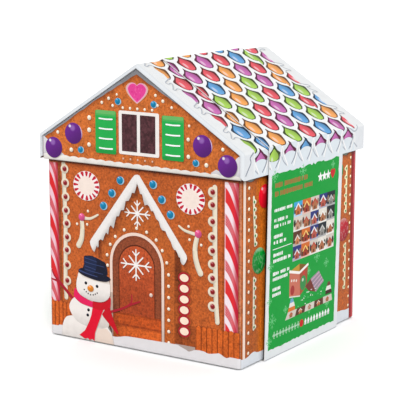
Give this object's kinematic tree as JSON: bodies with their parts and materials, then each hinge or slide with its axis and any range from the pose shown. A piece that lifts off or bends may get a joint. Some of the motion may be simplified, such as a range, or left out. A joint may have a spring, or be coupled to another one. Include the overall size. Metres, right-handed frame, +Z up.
{
  "type": "house-shaped gift tin",
  "caption": "Square printed tin shaped as a gingerbread house, shut by a gabled lid and held in a loose card sleeve.",
  "frame": {"origin": "middle of the underside, on the surface that the tin stands on", "axes": "+Z up to the ridge, -Y out of the front gable, the ridge along Y, the eaves and the sleeve's sides at +X and -X"},
  "size_m": [0.1348, 0.1332, 0.158],
  "materials": {
    "printed_walls": "gingerbread brown print under a satin lacquer",
    "bare_tin": "bare tinplate",
    "printed_roof": "icing white print with coloured sweets, satin lacquer",
    "printed_gables": "gingerbread brown print under a satin lacquer",
    "printed_card": "green print on smooth white card"
  },
  "bodies": {
    "root": {"tin_body": "printed_walls", "bottom_plate": "bare_tin", "lid_roof": "printed_roof", "gable_front": "printed_gables", "gable_back": "printed_gables", "card_sleeve": "printed_card"}
  },
  "joints": []
}
